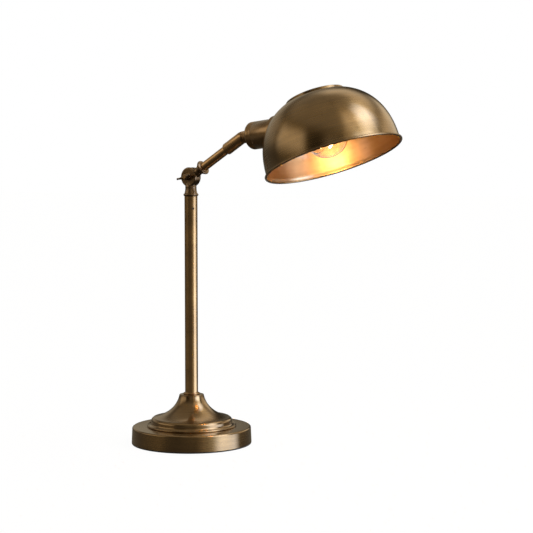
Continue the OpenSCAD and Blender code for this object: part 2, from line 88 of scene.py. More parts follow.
# Threads and fits: a seat stands still on its pin, a running fit turns on it
NIPPLE_R = 5 * MM
NIPPLE_BORE = 3.3 * MM
BOLT_R = 2.5 * MM
BOLT_REACH = 9 * MM
SEAT = 0.02 * MM
RUNNING = 0.05 * MM
FACE_GAP = 0.3 * MM

# Knuckle, from the hinge
CHEEK_R = 14 * MM
CHEEK_HALF = 6.7 * MM
CHEEK_EDGE = 1.6 * MM
SLOT_HALF = 3.1 * MM
POCKET_R = 11 * MM
TONGUE_R = 10.5 * MM
TONGUE_HALF = 2.2 * MM
BLADE_HALF = 6 * MM
BLADE_ROOM = 0.5 * MM
SWEEP_LOW, SWEEP_HIGH = 27.3, 90  # degrees above the level
HINGE_RISE = 28.2 * MM
WASHER = 1.1 * MM
NUT_FACE = CHEEK_HALF + WASHER
WING_TURN = math.radians(16)

# Arm, along the arm's axis from the hinge
POLE_R = 9.5 * MM
ARM_R = 6.5 * MM
ARM_WALL = 1.2 * MM
STEM_END = 29 * MM
SLEEVE_START = 77.6 * MM
SLEEVE_DEPTH = 20 * MM
ARM_LEN = (BEND - HINGE).length
ELBOW_R = 8.6 * MM
ELBOW_TURN_R = ELBOW_R + 1 * MM
ELBOW_TURN = ARM_TILT - CUP_TILT

# Cup, along the cup's axis from the bend
RING_S = ELBOW_TURN_R * math.tan(ELBOW_TURN / 2)
RING_W = 2 * MM
NECK_S = RING_S + RING_W + FACE_GAP
CUP_BACK = 13.9 * MM
CUP_R = 19.5 * MM
CUP_WALL = 1.2 * MM
CUP_END = 82.3 * MM

# Shade, from the middle of its rim
RIM_S = 152.3 * MM
RIM_DROP = 47.8 * MM
SHADE_PITCH = math.radians(14.2)
SHADE_R = 93.8 * MM
SHADE_H = 95 * MM
SHADE_BULGE = 2.36
SHADE_T = 1.2 * MM
BEAD_R = 1.6 * MM
CAP_R = 41 * MM
CAP_EDGE = 91.7 * MM
CAP_TOP = 96.8 * MM

# Lampholder and bulb, along the bulb's axis
HOLDER_S = 46 * MM
HOLDER_LOW = 0.5 * MM
HOLDER_DIP = math.radians(8.2)
SLEEVE_R = 15.2 * MM
BULB_H = 18.4 * MM
BULB_R = 30.8 * MM
BULB_LEN = 110 * MM
BULB_CAP_H = 26 * MM
BULB_NECK_R = 13 * MM
BULB_HEAD = BULB_LEN - BULB_R
GLASS_T = 0.9 * MM

# Camera: turns in degrees, sensor in millimetres, focal length in pixels of the photograph
CAMERA_HEADING = 37.04
CAMERA_PITCH = 3.71
CAMERA_DISTANCE = 2.130
CAMERA_HEIGHT = 0.3974
CAMERA_AZIMUTH = 40.0
SENSOR = 36.0
FOCAL_PIXELS = 1459.7
FRAME_PIXELS = 533

# ---------------------------------------------------------------- places


def turn_y(angle):
    """A turn about +Y, which tips +Z towards +X."""
    return Matrix.Rotation(angle, 4, "Y")


def lying(place, along=0.0):
    """The place moved along its own +X, with the +Z of a turned piece laid that way."""
    return place @ Matrix.Translation((along, 0, 0)) @ turn_y(math.pi / 2)


AT_FOOT = Matrix.Identity(4)
AT_HINGE = Matrix.Translation(HINGE) @ turn_y(-ARM_TILT)
AT_BEND = Matrix.Translation(BEND) @ turn_y(-CUP_TILT)
AT_SHADE = AT_BEND @ Matrix.Translation((RIM_S, 0, -RIM_DROP)) @ turn_y(-SHADE_PITCH)
AT_HOLDER = lying(AT_BEND @ Matrix.Translation((HOLDER_S, 0, -HOLDER_LOW)) @ turn_y(HOLDER_DIP))
AT_BULB = AT_HOLDER @ Matrix.Translation((0, 0, BULB_H))
ARM_LINE = lying(AT_HINGE)
CUP_LINE = lying(AT_BEND)
ACROSS_FORK = Matrix.Translation(HINGE) @ Matrix.Rotation(math.pi / 2, 4, "X")
ACROSS_TONGUE = AT_HINGE @ Matrix.Rotation(math.pi / 2, 4, "X")

# ---------------------------------------------------------------- shapes


def arc(x, y, radius, start, end, steps=8):
    """Points of an arc about (x, y), angles in degrees."""
    angles = [math.radians(start + (end - start) * i / steps) for i in range(steps + 1)]
    return [(x + radius * math.cos(a), y + radius * math.sin(a)) for a in angles]


def foot_outline(inset):
    """The foot from the bottom of its wall to its neck, inset from its outer face."""
    drum_edge, lean = 2.5 * MM, 0.9 * MM
    bead, bead_at = 1.6 * MM, 63.9 * MM
    cove, cove_rise, nose = 3.4 * MM, 2.4 * MM, 4.6 * MM
    step_r, step_z, inner_edge = 59.35 * MM, 38.05 * MM, 2.6 * MM
    steep_r, shallow_r = 38 * MM, 50 * MM  # the flare's two arcs, and where they start and meet
    steep, knee, shallow = 78, 42, 8
    neck_r, neck_edge, neck_hole, least_edge = 18 * MM, 1.2 * MM, 5.3 * MM, 0.1 * MM
    top = Vector((neck_r + steep_r * math.sin(math.radians(steep)),
                  NECK_TOP - neck_edge + steep_r * math.cos(math.radians(steep))))
    towards = Vector((math.sin(math.radians(knee)), math.cos(math.radians(knee))))
    low = top + (shallow_r - steep_r) * towards
    points = [(FOOT_R - inset, FELT_TOP)]
    points += arc(FOOT_R - lean - drum_edge, DRUM_TOP - drum_edge, drum_edge - inset, 0, 88, 12)
    if inset == 0:
        points += arc(bead_at, DRUM_TOP + bead, bead, -60, 110, 18)
        points += arc(step_r + cove, DRUM_TOP + cove_rise + cove, cove, 265, 180, 14)
        points += arc(step_r - nose, step_z - nose, nose, 0, 78, 20)
    else:
        points += [(step_r - inset, DRUM_TOP - inset)]
        points += arc(step_r - inner_edge, step_z - inner_edge, inner_edge - inset, 0, 80, 14)
    points += arc(low.x, low.y, shallow_r + inset, 270 - shallow, 270 - knee, 24)
    points += arc(top.x, top.y, steep_r + inset, 270 - knee - 2, 270 - steep, 28)
    points += arc(neck_r - neck_edge, NECK_TOP - neck_edge, max(neck_edge - inset, least_edge), 0, 90, 8)
    points += [(neck_hole, NECK_TOP - inset)]
    return points


def shade_outline(inset, steps=72):
    """The shade from its rim to its crown, inset from its outer face."""
    angles = [math.pi / 2 * i / steps for i in range(steps)]
    points = [((SHADE_R - inset) * math.cos(a) ** (2 / SHADE_BULGE),
               (SHADE_H - inset) * math.sin(a) ** (2 / SHADE_BULGE)) for a in angles]
    return points + [(0, SHADE_H - inset)]


def bulb_outline(inset):
    """The bulb's glass from its cap to its tip, inset from its outer face."""
    neck_turn = 35  # degrees that the neck turns outwards before the head takes over
    cosine = math.cos(math.radians(neck_turn))
    neck_arc = (BULB_R * cosine - BULB_NECK_R) / (1 - cosine)
    points = arc(BULB_NECK_R + neck_arc, BULB_CAP_H, neck_arc + inset, 180, 180 - neck_turn, 20)
    return points + arc(0, BULB_HEAD, BULB_R - inset, -30, 89, 48) + [(0, BULB_HEAD + BULB_R - inset)]


def as_piece(name, bm, place, sharp=40):
    """A piece made from the mesh in hand, smooth but for edges sharper than that angle."""
    bmesh.ops.recalc_face_normals(bm, faces=bm.faces)
    mesh = bpy.data.meshes.new(name)
    bm.to_mesh(mesh)
    bm.free()
    piece = bpy.data.objects.new(name, mesh)
    bpy.context.scene.collection.objects.link(piece)
    piece.matrix_world = place
    return smooth(piece, sharp)


def smooth(piece, sharp=40):
    """Shades the piece smooth but for edges sharper than that angle, in degrees."""
    piece.data.shade_smooth()
    piece.data.set_sharp_from_angle(angle=math.radians(sharp))
    return piece


def bridge(bm, rings):
    """Faces between rings of points that follow each other; a ring of one point closes to a tip."""
    for low, high in zip(rings, rings[1:]):
        around = max(len(low), len(high))
        for i in range(around):
            j = (i + 1) % around
            corners = [low[i % len(low)], low[j % len(low)], high[j % len(high)], high[i % len(high)]]
            loop = list(dict.fromkeys(corners))
            if len(loop) > 2:
                bm.faces.new(loop)


def circle(radius, around, height=0.0):
    """Points evenly round the +Z axis."""
    turns = [2 * math.pi * i / around for i in range(around)]
    return [Vector((radius * math.cos(t), radius * math.sin(t), height)) for t in turns]


def turned(name, outline, place, around=160, sharp=40):
    """A turned piece: the outline's (radius, height) points swept round the place's +Z."""
    bm = bmesh.new()
    rings = []
    for radius, height in outline:
        on_axis = radius < 1e-7
        points = [(0, 0, height)] if on_axis else circle(radius, around, height)
        rings.append([bm.verts.new(point) for point in points])
    if outline[0] == outline[-1] and len(rings[0]) > 1:
        bmesh.ops.delete(bm, geom=rings.pop(), context="VERTS")
        rings.append(rings[0])
    bridge(bm, rings)
    return as_piece(name, bm, place, sharp)


def swept(name, stations, around, sharp):
    """A piece through round rings, each given by its place and radius; it closes on itself."""
    bm = bmesh.new()
    rings = [[bm.verts.new(place @ point) for point in circle(radius, around)]
             for place, radius in stations]
    bridge(bm, rings + rings[:1])
    return as_piece(name, bm, AT_FOOT, sharp)


def wire(name, points, radius, around=8):
    """A round wire through the points."""
    bm = bmesh.new()
    rings = []
    for i, point in enumerate(points):
        ahead = (points[min(i + 1, len(points) - 1)] - points[max(i - 1, 0)]).normalized()
        turn = ahead.to_track_quat("Z", "Y").to_matrix().to_4x4()
        rings.append([bm.verts.new(point + turn @ aside) for aside in circle(radius, around)])
    bridge(bm, [[bm.verts.new(points[0])]] + rings + [[bm.verts.new(points[-1])]])
    return as_piece(name, bm, AT_FOOT, sharp=60)


def slab(name, outline, half, place):
    """A plate whose outline lies in the place's XZ plane, that far to either side of it."""
    bm = bmesh.new()
    near = [bm.verts.new((x, -half, z)) for x, z in outline]
    far = [bm.verts.new((x, half, z)) for x, z in outline]
    bridge(bm, [near, far])
    bm.faces.new(near)
    bm.faces.new(far)
    return as_piece(name, bm, place)


def settle(piece):
    """Turns the piece's modifiers into its mesh."""
    bpy.context.view_layer.update()
    piece.data = bpy.data.meshes.new_from_object(piece.evaluated_get(bpy.context.evaluated_depsgraph_get()))
    piece.modifiers.clear()
    return piece


def carve(piece, *tools, operation="DIFFERENCE"):
    """Cuts each tool out of the piece, or joins it on, and drops the tool."""
    for tool in tools:
        modifier = piece.modifiers.new("carve", "BOOLEAN")
        modifier.operation = operation
        modifier.object = tool
        modifier.solver = "EXACT"
        settle(piece)
        bpy.data.objects.remove(tool)
    return piece


def cast(piece, *others, grain=0.35 * MM, rounds=5):
    """Melts a piece and others into one soft-edged casting."""
    carve(piece, *others, operation="UNION")
    melt = piece.modifiers.new("melt", "REMESH")
    melt.mode = "VOXEL"
    melt.voxel_size = grain
    ease = piece.modifiers.new("ease", "SMOOTH")
    ease.factor = 0.5
    ease.iterations = rounds
    return settle(piece)


def join(piece, *others):
    """Adds the others' meshes to the piece as they lie, without joining their skins."""
    bpy.context.view_layer.update()
    bm = bmesh.new()
    bm.from_mesh(piece.data)
    for other in others:
        other.data.transform(piece.matrix_world.inverted() @ other.matrix_world)
        bm.from_mesh(other.data)
        bpy.data.objects.remove(other)
    bm.to_mesh(piece.data)
    bm.free()
    return piece


def on_lamp_axes(piece):
    """Gives the piece the lamp's own axes, so that its box is no larger than the piece."""
    bpy.context.view_layer.update()
    piece.data.transform(piece.matrix_world)
    piece.matrix_world = AT_FOOT
    return piece


def rod(radius, start, end, place, around=64):
    """A plain round tool along the place's +Z."""
    return turned("rod", [(0, start), (radius, start), (radius, end), (0, end)], place, around)


def closed(outline):
    """The outline with its first point again at its end, for a piece with an open middle."""
    return outline + outline[:1]


# ---------------------------------------------------------------- node groups


class Wiring:
    """Short words for laying nodes and links in one node tree."""

    def __init__(self, tree):
        self.tree = tree

    def add(self, kind, inputs=None, **settings):
        node = self.tree.nodes.new(kind)
        for key, value in settings.items():
            setattr(node, key, value)
        for key, value in (inputs or {}).items():
            self.feed(node.inputs[key], value)
        return node

    def feed(self, socket, value):
        if isinstance(value, bpy.types.NodeSocket):
            self.tree.links.new(value, socket)
        else:
            socket.default_value = value

    def object_place(self):
        """The shaded point in the object's own axes."""
        return self.add("ShaderNodeTexCoord").outputs["Object"]

    def math(self, operation, *values):
        node = self.add("ShaderNodeMath", operation=operation)
        for socket, value in zip(node.inputs, values):
            self.feed(socket, value)
        return node.outputs[0]

    def noise(self, vector, scale, detail=2.0, roughness=0.5):
        return self.add("ShaderNodeTexNoise", {"Vector": vector, "Scale": scale, "Detail": detail,
                                               "Roughness": roughness}).outputs["Fac"]

    def spread(self, value, low, high, new_low=0.0, new_high=1.0):
        return self.add("ShaderNodeMapRange", {"Value": value, "From Min": low, "From Max": high,
                                               "To Min": new_low, "To Max": new_high}).outputs[0]

    def mix(self, factor, one, two):
        node = self.add("ShaderNodeMix", data_type="RGBA")
        self.feed(node.inputs[0], factor)
        self.feed(node.inputs[6], one)
        self.feed(node.inputs[7], two)
        return node.outputs[2]


def node_group(name, inputs, outputs):
    """An empty shader group with named sockets, with its wiring and its two ends."""
    group = bpy.data.node_groups.new(name, "ShaderNodeTree")
    for label, kind, value in inputs:
        socket = group.interface.new_socket(label, in_out="INPUT", socket_type=kind)
        if value is not None:
            socket.default_value = value
    for label, kind in outputs:
        group.interface.new_socket(label, in_out="OUTPUT", socket_type=kind)
    wiring = Wiring(group)
    return group, wiring, wiring.add("NodeGroupInput").outputs, wiring.add("NodeGroupOutput").inputs


def make_brushing():
    """Fine scratches that run round the vector's +Z axis, as polishing on a lathe leaves them."""
    group, w, given, out = node_group(
        "brushing round the axis",
        [("Vector", "NodeSocketVector", None), ("Fineness", "NodeSocketFloat", 900.0),
         ("Length", "NodeSocketFloat", 3.0)],
        [("Scratches", "NodeSocketFloat"), ("Bands", "NodeSocketFloat")])
    split = w.add("ShaderNodeSeparateXYZ", {"Vector": given["Vector"]}).outputs
    radius = w.math("SQRT", w.math("ADD", w.math("MULTIPLY", split["X"], split["X"]),
                                   w.math("MULTIPLY", split["Y"], split["Y"])))
    angle = w.math("ARCTAN2", split["Y"], split["X"])
    turn = w.math("DIVIDE", angle, given["Length"])
    across = w.math("MULTIPLY", split["Z"], given["Fineness"])
    outward = w.math("MULTIPLY", radius, given["Fineness"])
    lay = w.add("ShaderNodeCombineXYZ", {"X": across, "Y": outward, "Z": turn}).outputs[0]
    w.feed(out["Scratches"], w.spread(w.noise(lay, 1.0, 3.0, 0.6), 0.3, 0.7))
    coarse = w.add("ShaderNodeVectorMath", {0: lay, 1: (0.09, 0.09, 0.5)}, operation="MULTIPLY")
    w.feed(out["Bands"], w.spread(w.noise(coarse.outputs[0], 1.0, 2.0), 0.3, 0.7))
    return group


def make_patina():
    """Soft cloudy staining of aged brass."""
    group, w, given, out = node_group(
        "patina clouds",
        [("Vector", "NodeSocketVector", None), ("Scale", "NodeSocketFloat", 22.0)],
        [("Clouds", "NodeSocketFloat"), ("Spots", "NodeSocketFloat")])
    w.feed(out["Clouds"], w.spread(w.noise(given["Vector"], given["Scale"], 4.0, 0.55), 0.32, 0.68))
    fine = w.math("MULTIPLY", given["Scale"], 9.0)
    w.feed(out["Spots"], w.spread(w.noise(given["Vector"], fine, 2.0), 0.62, 0.78))
    return group


BRUSHING = make_brushing()
PATINA = make_patina()

# ---------------------------------------------------------------- materials


def rgba(colour, share=1.0):
    """The colour, or that share of it, with full alpha."""
    return (*[channel * share for channel in colour], 1)


def shader(name, **uniform):
    """A new material with its wiring, its Principled shader and its values that are the same all over."""
    material = bpy.data.materials.new(name)
    material.use_nodes = True
    surface = material.node_tree.nodes["Principled BSDF"]
    for label, value in uniform.items():
        surface.inputs[label.replace("_", " ")].default_value = value
    return material, Wiring(material.node_tree), surface


def bump(w, surface, height, distance, strength=1.0):
    """Relief from a height between 0 and 1, that deep in metres."""
    node = w.add("ShaderNodeBump", {"Height": height, "Distance": distance, "Strength": strength})
    w.feed(surface.inputs["Normal"], node.outputs[0])


def aged_brass(name, pale, dark, roughness=0.25, fineness=2200.0, length=3.0, axis_place=None, spots=0.3,
               stretch=0.6, coat=0.8, clouds=22.0, scratched=0.3):
    """Antique brass: brushed round an axis, clouded with patina, under satin lacquer.

    The axis is the +Z of axis_place, or the piece's own. Fineness and length are those of the scratches,
    clouds is the scale of the patina, spots the strength of its freckles and stretch that of the sheen.
    """
    material, w, surface = shader(name, Metallic=1.0, Anisotropic=stretch, Anisotropic_Rotation=0.25,
                                  Coat_Weight=coat, Coat_Roughness=0.1, Coat_IOR=1.75)
    vector = w.object_place()
    if axis_place is not None:
        place = axis_place.inverted()
        from_axis = w.add("ShaderNodeVectorMath", {0: vector, 1: axis_place.to_translation()},
                          operation="SUBTRACT").outputs[0]
        around = w.add("ShaderNodeVectorMath", {0: axis_place.col[2].to_3d(), 1: from_axis},
                       operation="CROSS_PRODUCT").outputs[0]
        tangent = w.add("ShaderNodeVectorTransform", {"Vector": around}, vector_type="VECTOR",
                        convert_from="OBJECT", convert_to="WORLD").outputs[0]
        w.feed(surface.inputs["Tangent"], tangent)
        vector = w.add("ShaderNodeMapping", {"Vector": vector, "Location": place.to_translation(),
                                             "Rotation": place.to_euler()}).outputs[0]
    else:
        around = w.add("ShaderNodeTangent", direction_type="RADIAL", axis="Z")
        w.feed(surface.inputs["Tangent"], around.outputs[0])
    brush = w.add("ShaderNodeGroup", {"Vector": vector, "Fineness": fineness, "Length": length},
                  node_tree=BRUSHING).outputs
    stain = w.add("ShaderNodeGroup", {"Vector": vector, "Scale": clouds}, node_tree=PATINA).outputs
    shade = w.math("ADD", w.math("MULTIPLY", stain["Clouds"], 0.6), w.math("MULTIPLY", brush["Bands"], 0.4))
    colour = w.mix(shade, rgba(dark), rgba(pale))
    w.feed(surface.inputs["Base Color"],
           w.mix(w.math("MULTIPLY", stain["Spots"], spots), colour, rgba(dark, 0.45)))
    uneven = w.math("ADD", w.math("MULTIPLY", brush["Scratches"], 0.06),
                    w.math("MULTIPLY", stain["Clouds"], 0.05))
    w.feed(surface.inputs["Roughness"], w.math("ADD", uneven, roughness - 0.05))
    bump(w, surface, brush["Scratches"], 0.002 * MM, scratched)
    return material


def cast_brass(name, pale, dark):
    """Antique brass as cast and hand polished: mottled, with a faint uneven skin."""
    material, w, surface = shader(name, Metallic=1.0, Coat_Weight=0.7, Coat_Roughness=0.12, Coat_IOR=1.75)
    vector = w.object_place()
    stain = w.add("ShaderNodeGroup", {"Vector": vector, "Scale": 140.0}, node_tree=PATINA).outputs
    colour = w.mix(stain["Clouds"], rgba(dark), rgba(pale))
    w.feed(surface.inputs["Base Color"],
           w.mix(w.math("MULTIPLY", stain["Spots"], 0.35), colour, rgba(dark, 0.4)))
    w.feed(surface.inputs["Roughness"], w.spread(stain["Clouds"], 0, 1, 0.27, 0.34))
    bump(w, surface, w.noise(vector, 300.0), 0.03 * MM, 0.3)
    return material


def plain_metal(name, colour, roughness, grain=400.0):
    """A small turned or plated part: slightly uneven colour and gloss."""
    material, w, surface = shader(name, Metallic=1.0)
    cloud = w.noise(w.object_place(), grain, 3.0)
    w.feed(surface.inputs["Base Color"], w.mix(cloud, rgba(colour, 0.75), rgba(colour)))
    w.feed(surface.inputs["Roughness"], w.spread(cloud, 0.3, 0.7, roughness, roughness + 0.15))
    return material


def moulded(name, colour, roughness, grain=900.0):
    """A moulded or cast part without metal: fine grain in its gloss and surface."""
    material, w, surface = shader(name)
    grainy = w.noise(w.object_place(), grain)
    w.feed(surface.inputs["Base Color"], w.mix(grainy, rgba(colour, 0.8), rgba(colour)))
    w.feed(surface.inputs["Roughness"], w.spread(grainy, 0.3, 0.7, roughness - 0.05, roughness + 0.05))
    bump(w, surface, grainy, 0.03 * MM)
    return material


def felt():
    """Dull black felt with a fine nap."""
    material, w, surface = shader("black felt", Roughness=0.95, Sheen_Weight=0.3)
    fibres = w.noise(w.object_place(), 1500.0, 4.0, 0.7)
    w.feed(surface.inputs["Base Color"], w.mix(fibres, (0.006, 0.006, 0.006, 1), (0.03, 0.03, 0.03, 1)))
    bump(w, surface, fibres, 0.3 * MM)
    return material


def clear_glass():
    """Clear bulb glass that lets the lamp's own light through to the shade."""
    material, w, surface = shader("clear bulb glass", Roughness=0.0, IOR=1.3, Transmission_Weight=1.0)
    bump(w, surface, w.noise(w.object_place(), 60.0), 0.01 * MM)
    rays = w.add("ShaderNodeLightPath").outputs
    clear = w.add("ShaderNodeBsdfTransparent")
    either = w.math("MAXIMUM", rays["Is Shadow Ray"], rays["Is Diffuse Ray"])
    blend = w.add("ShaderNodeMixShader", {0: either, 1: surface.outputs[0], 2: clear.outputs[0]})
    w.feed(w.tree.nodes["Material Output"].inputs["Surface"], blend.outputs[0])
    return material


def glowing_wire():
    """A tungsten filament at work, a little hotter here and there."""
    material, w, surface = shader("glowing tungsten", Roughness=0.5, Emission_Strength=60.0)
    heat = w.noise(w.object_place(), 300.0)
    w.feed(surface.inputs["Emission Color"], w.mix(heat, (1.0, 0.62, 0.26, 1), (1.0, 0.80, 0.52, 1)))
    w.feed(surface.inputs["Base Color"], w.mix(heat, (0.2, 0.15, 0.1, 1), (0.3, 0.25, 0.2, 1)))
    return material


# The pale and the dark tone of each brass. Besides the brass's own variation, the pole's, the arm's and the
# brown parts' tones are set lighter and the cast parts' darker as painted light and shade, and the shade's
# inside paler as painted light.
OLIVE_PALE, OLIVE_DARK = (0.43, 0.265, 0.105), (0.25, 0.15, 0.054)
FOOT_PALE, FOOT_DARK = (0.36, 0.22, 0.085), (0.24, 0.14, 0.05)
BROWN_LIT_PALE, BROWN_LIT_DARK = (0.50, 0.295, 0.12), (0.32, 0.18, 0.068)
ARM_LIT_PALE, ARM_LIT_DARK = (0.76, 0.45, 0.185), (0.50, 0.285, 0.11)
POLE_LIT_PALE, POLE_LIT_DARK = (0.62, 0.375, 0.15), (0.34, 0.195, 0.072)
CAST_SHADED_PALE, CAST_SHADED_DARK = (0.27, 0.158, 0.066), (0.17, 0.096, 0.038)
INNER_LIT_PALE, INNER_LIT_DARK = (0.62, 0.44, 0.26), (0.46, 0.31, 0.16)

BRASS = aged_brass("aged brass, turned", OLIVE_PALE, OLIVE_DARK, axis_place=AT_SHADE)
FOOT_BRASS = aged_brass("aged brass, foot", FOOT_PALE, FOOT_DARK)
# Painted light: the shade's inside is the same aged brass, set paler and less saturated for the light that
# the bulb and the room throw into it.
INNER_LIT_BRASS = aged_brass("aged brass, inside of the shade", INNER_LIT_PALE, INNER_LIT_DARK, roughness=0.36,
                         fineness=1500.0, axis_place=AT_SHADE, coat=1.0)
# Painted light: the pole's tones are set lighter than the other brass, for light that the pole catches too
# little of.
DRAWN_BRASS = aged_brass("aged brass, drawn tube", POLE_LIT_PALE, POLE_LIT_DARK, roughness=0.29, fineness=14.0,
                         length=0.1, spots=0.4, stretch=0.0, clouds=40.0, scratched=0.0)
# Partly the brown brass's own colour, partly painted light: these tones are set lighter than the other
# brass, for light that the cup and the small turned parts catch too little of.
BROWN_UPRIGHT = aged_brass("brown brass on the pole", BROWN_LIT_PALE, BROWN_LIT_DARK)
# Partly the arm's own browner brass, partly painted light: the arm's tones are set lighter than the other
# brass, for light that it catches too little of.
BROWN_TUBE = aged_brass("brown brass, drawn arm", ARM_LIT_PALE, ARM_LIT_DARK, roughness=0.27, fineness=20.0,
                        length=0.16, axis_place=ARM_LINE, stretch=0.0, clouds=60.0, scratched=0.0)
BROWN_ARM = aged_brass("brown brass on the arm", ARM_LIT_PALE, ARM_LIT_DARK, roughness=0.28, axis_place=ARM_LINE,
                       stretch=0.0)
# Painted light: the cup takes the lightened brown tones.
BROWN_CUP = aged_brass("brown brass on the cup", BROWN_LIT_PALE, BROWN_LIT_DARK, roughness=0.28,
                       axis_place=CUP_LINE, stretch=0.0)
# Painted shade: the cast parts' tones are set darker than the other brass, for light that the knuckles and
# the wing nut catch too much of.
BROWN_CAST = cast_brass("brown brass, cast", CAST_SHADED_PALE, CAST_SHADED_DARK)
BRIGHT = plain_metal("plain brass", (0.72, 0.52, 0.24), 0.28)
ZINC = plain_metal("zinc-plated steel", (0.62, 0.61, 0.58), 0.34)
BLACK_STEEL = plain_metal("blackened steel", (0.06, 0.055, 0.05), 0.4)
NICKEL = plain_metal("bulb cap metal", (0.66, 0.64, 0.60), 0.3)
IRON = moulded("cast iron", (0.07, 0.07, 0.07), 0.7, 500.0)
RUBBER = moulded("black rubber", (0.02, 0.02, 0.02), 0.6)
FIBRE = moulded("brown fibre", (0.16, 0.07, 0.04), 0.7)
PHENOLIC = moulded("black moulding", (0.03, 0.025, 0.02), 0.35)
BLACK_GLASS = moulded("black insulating glass", (0.02, 0.02, 0.025), 0.12)
FELT = felt()
GLASS = clear_glass()
GLOW = glowing_wire()

CAD_FINISH = {
    "felt_pad": FELT, "base_shell": FOOT_BRASS, "base_weight": IRON, "base_nipple": ZINC,
    "base_washer": ZINC, "base_nut": ZINC, "cord_grommet": RUBBER, "pole_collar": BROWN_UPRIGHT,
    "pole_bush": BRIGHT, "pole": DRAWN_BRASS, "pole_set_screw": BLACK_STEEL,
    "lower_knuckle": BROWN_UPRIGHT, "friction_washers": FIBRE, "hinge_bolt": BROWN_UPRIGHT,
    "hinge_washer": BROWN_UPRIGHT, "wing_nut": BROWN_UPRIGHT, "upper_knuckle": BROWN_ARM,
    "arm_tube": BROWN_TUBE, "elbow": BROWN_ARM, "neck_nipple": ZINC, "swivel_ring": BROWN_CUP,
    "swivel_washer": ZINC, "lock_nut": ZINC, "cup_neck": BROWN_CUP, "socket_cup": BROWN_CUP,
    "holder_seat": BRIGHT, "holder_screws": ZINC, "lampholder": PHENOLIC, "holder_sleeve": BRIGHT,
    "screw_shell": BRIGHT, "centre_contact": BRIGHT, "wedge_ring": BRASS, "shade_ring": BRIGHT,
    "saddle_collar": BROWN_CUP, "shade": BRASS, "crown_cap": BRASS, "crown_washer": ZINC,
    "crown_screw": BRIGHT, "crown_nut": ZINC, "bulb_contact": ZINC, "bulb_insulator": BLACK_GLASS,
    "bulb_cap": NICKEL, "bulb_glass": GLASS, "bulb_stem": GLASS, "bulb_wires": ZINC,
    "filament": GLOW,
}


def dress(piece, material):
    """Gives the whole piece that one material."""
    piece.data.materials.clear()
    piece.data.materials.append(material)


def install(piece, body, finish, slot, *replaced):
    """Gives a piece its material, its body and the CAD nodes that it stands for; its slot is not used."""
    if finish is not None:
        dress(piece, finish)
    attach(piece, body)
    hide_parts(*replaced)


for node_name, finish in CAD_FINISH.items():
    dress(nodes[node_name], finish)

# ---------------------------------------------------------------- pieces


def foot():
    """The foot as one spun shell, open below."""
    shell = foot_outline(0) + foot_outline(SHEET)[::-1]
    piece = turned("foot_shell", closed(shell), AT_FOOT, around=240)
    install(piece, "base", FOOT_BRASS, "aged_brass", "base_shell")


def felt_pad():
    """The felt under the foot, its cut edge bulging a little under the weight."""
    widest, wide, narrow = FOOT_R - 0.1 * MM, FOOT_R - 0.2 * MM, FOOT_R - 0.5 * MM
    edge = [(narrow, 0), (wide, 0.4 * MM), (widest, FELT_TOP / 2), (wide, FELT_TOP - 0.3 * MM),
            (narrow, FELT_TOP)]
    piece = turned("felt_disc", [(0, 0)] + edge + [(0, FELT_TOP)], AT_FOOT, around=240)
    install(piece, "base", FELT, "black_felt", "felt_pad")


def pole_collar():
    """The turned ring under the pole: a bead below and a plain round-edged seat above."""
    top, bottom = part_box("pole_collar")[1].z, NECK_TOP
    hole, bead, bead_at = NIPPLE_R + 0.3 * MM, 1.2 * MM, 11 * MM
    edge, edge_at, waist = 0.6 * MM, 9.7 * MM, 10.4 * MM
    outline = ([(hole, bottom), (bead_at + 0.2 * MM, bottom)]
               + arc(bead_at, bottom + bead, bead, -60, 90, 16) + [(waist, bottom + 2.5 * MM)]
               + arc(edge_at, top - edge, edge, 0, 90, 8) + [(hole, top)])
    piece = turned("collar_ring", closed(outline), AT_FOOT, around=120)
    install(piece, "base", BROWN_UPRIGHT, "dark_brass", "pole_collar")


